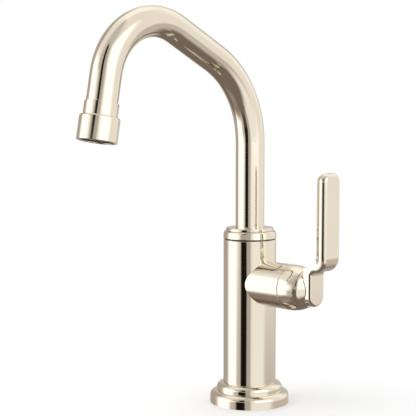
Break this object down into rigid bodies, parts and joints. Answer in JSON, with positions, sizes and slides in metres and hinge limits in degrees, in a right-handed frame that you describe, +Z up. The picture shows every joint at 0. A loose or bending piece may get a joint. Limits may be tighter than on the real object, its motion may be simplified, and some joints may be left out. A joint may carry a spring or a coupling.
{
  "type": "beverage faucet",
  "caption": "Deck-mounted beverage faucet with a swivelling angled gooseneck spout, a turned column on a stepped flange and a quarter-turn side lever.",
  "frame": {"origin": "centre of the deck hole, on the face that sits on the deck", "axes": "+Z up along the column and the spout's swivel axis, -Y towards the nozzle, +X out along the lever's hub"},
  "size_m": [0.1131, 0.1962, 0.3856],
  "materials": {
    "polished_nickel": "polished warm nickel plate",
    "nickel_lever": "polished warm nickel plate on a casting",
    "raw_brass": "machined, unplated",
    "copper": "drawn tube, slightly dull",
    "stainless_steel": "stamped or turned",
    "black_rubber": "matte",
    "white_plastic": "moulded acetal",
    "grey_plastic": "moulded acetal",
    "black_plastic": "moulded acetal",
    "ceramic": "lapped alumina",
    "fibre": "pressed fibre sheet"
  },
  "bodies": {
    "root": {"base_flange": "polished_nickel", "base_gasket": "black_rubber", "faucet_body": "polished_nickel", "mounting_shank": "raw_brass", "rubber_washer": "black_rubber", "steel_washer": "stainless_steel", "lock_nut": "raw_brass", "supply_tube": "copper", "tube_bush": "white_plastic", "inlet_fitting": "raw_brass", "thrust_washer": "black_plastic", "headwork": "raw_brass", "headwork_gasket": "fibre", "seat_seal": "black_rubber", "fixed_disc": "ceramic", "bonnet": "polished_nickel", "glide_ring": "black_plastic"},
    "spout": {"collar_ring": "polished_nickel", "spout_stem": "polished_nickel", "spout_seals": "black_rubber", "snap_ring": "stainless_steel", "spout_tube": "polished_nickel", "nozzle_ferrule": "polished_nickel", "nozzle_housing": "polished_nickel", "flow_washer": "black_rubber", "flow_screen": "stainless_steel", "flow_insert": "grey_plastic"},
    "handle": {"lever_handle": "nickel_lever", "handle_set_screw": "stainless_steel", "spindle": "raw_brass", "spindle_seals": "black_rubber", "spindle_clip": "stainless_steel", "moving_disc": "ceramic"}
  },
  "joints": [
    {"name": "spout_swivel", "type": "hinge", "parent": "root", "child": "spout", "pos_m": [0, 0, 0.1278], "axis": [0, 0, 1], "continuous": true},
    {"name": "lever_turn", "type": "hinge", "parent": "root", "child": "handle", "pos_m": [0.0583, 0, 0.0947], "axis": [1, 0, 0], "range_deg": [0, 90]}
  ]
}
